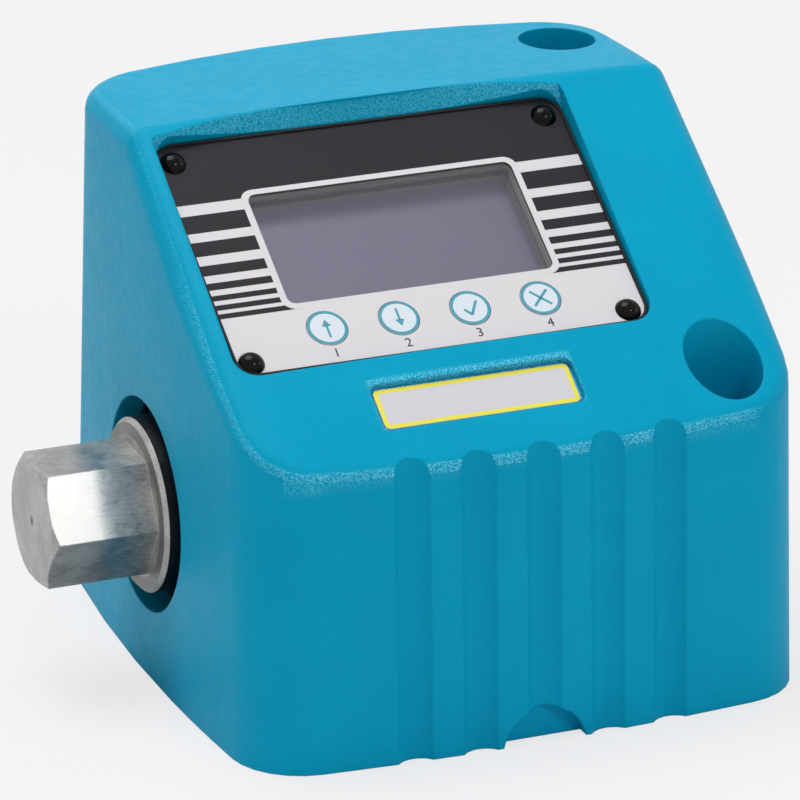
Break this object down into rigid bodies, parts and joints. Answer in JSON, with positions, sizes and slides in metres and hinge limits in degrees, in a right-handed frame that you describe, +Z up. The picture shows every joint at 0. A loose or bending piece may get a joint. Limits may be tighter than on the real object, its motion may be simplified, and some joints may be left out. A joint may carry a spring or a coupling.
{
  "type": "bench torque tester",
  "caption": "Bench torque tester: a painted cast housing with a sloped display panel, round keys, deep bolt wells and a male drive hexagon on its left side.",
  "frame": {"origin": "on the bottom plane, at the middle of the housing's width, 67.5 mm behind the foot of the front wall", "axes": "+Z up, -Y towards the fluted front wall, -X towards the drive hexagon"},
  "size_m": [0.1613, 0.1374, 0.1256],
  "materials": {
    "paint_blue": "satin hammered paint",
    "cover_steel": "plain",
    "dark_screw": "blackened",
    "shaft_steel": "turned and ground",
    "bronze": "turned",
    "black_ring": "gloss",
    "spring_steel": "blackened",
    "block_steel": "milled",
    "gauge_foil": "film",
    "panel_print": "printed",
    "black_rivet": "gloss",
    "clear_window": "clear",
    "grey_bezel": "satin",
    "lcd_grey": "satin",
    "board_green": "satin",
    "key_white": "satin",
    "mat_rubber": "matt",
    "spacer_brass": "turned",
    "zinc_screw": "zinc plated",
    "label_face": "printed",
    "socket_metal": "nickel plated",
    "black_plastic": "fine grain"
  },
  "bodies": {
    "tester": {"housing": "paint_blue", "cover_plate": "cover_steel", "cover_screws": "dark_screw", "drive_shaft": "shaft_steel", "shaft_bush": "bronze", "bore_ring": "black_ring", "shaft_clip": "spring_steel", "anchor_block": "block_steel", "anchor_screws": "dark_screw", "strain_gauges": "gauge_foil", "panel_plate": "panel_print", "panel_rivets": "black_rivet", "display_window": "clear_window", "display_bezel": "grey_bezel", "lcd_module": "lcd_grey", "display_board": "board_green", "keypad_mat": "mat_rubber", "keypad_board": "board_green", "main_board": "board_green", "board_spacers": "spacer_brass", "board_screws": "zinc_screw", "label_plate": "label_face", "data_socket": "socket_metal", "socket_posts": "zinc_screw", "power_inlet": "black_plastic", "inlet_nut": "zinc_screw", "switch_frame": "black_plastic"},
    "up_key": {"key_up": "key_white"},
    "down_key": {"key_down": "key_white"},
    "tick_key": {"key_tick": "key_white"},
    "cross_key": {"key_cross": "key_white"},
    "rocker": {"power_rocker": "black_plastic"}
  },
  "joints": [
    {"name": "up_press", "type": "slide", "parent": "tester", "child": "up_key", "axis": [0, 0.5519, -0.8339], "range_m": [0, 0.0004], "stiffness_N_per_m": 1500, "springref_m": -0.0005},
    {"name": "down_press", "type": "slide", "parent": "tester", "child": "down_key", "axis": [0, 0.5519, -0.8339], "range_m": [0, 0.0004], "stiffness_N_per_m": 1500, "springref_m": -0.0005},
    {"name": "tick_press", "type": "slide", "parent": "tester", "child": "tick_key", "axis": [0, 0.5519, -0.8339], "range_m": [0, 0.0004], "stiffness_N_per_m": 1500, "springref_m": -0.0005},
    {"name": "cross_press", "type": "slide", "parent": "tester", "child": "cross_key", "axis": [0, 0.5519, -0.8339], "range_m": [0, 0.0004], "stiffness_N_per_m": 1500, "springref_m": -0.0005},
    {"name": "power_rock", "type": "hinge", "parent": "tester", "child": "rocker", "pos_m": [0.024, 0.0605, 0.034], "axis": [1, 0, 0], "range_deg": [0, 16]}
  ]
}
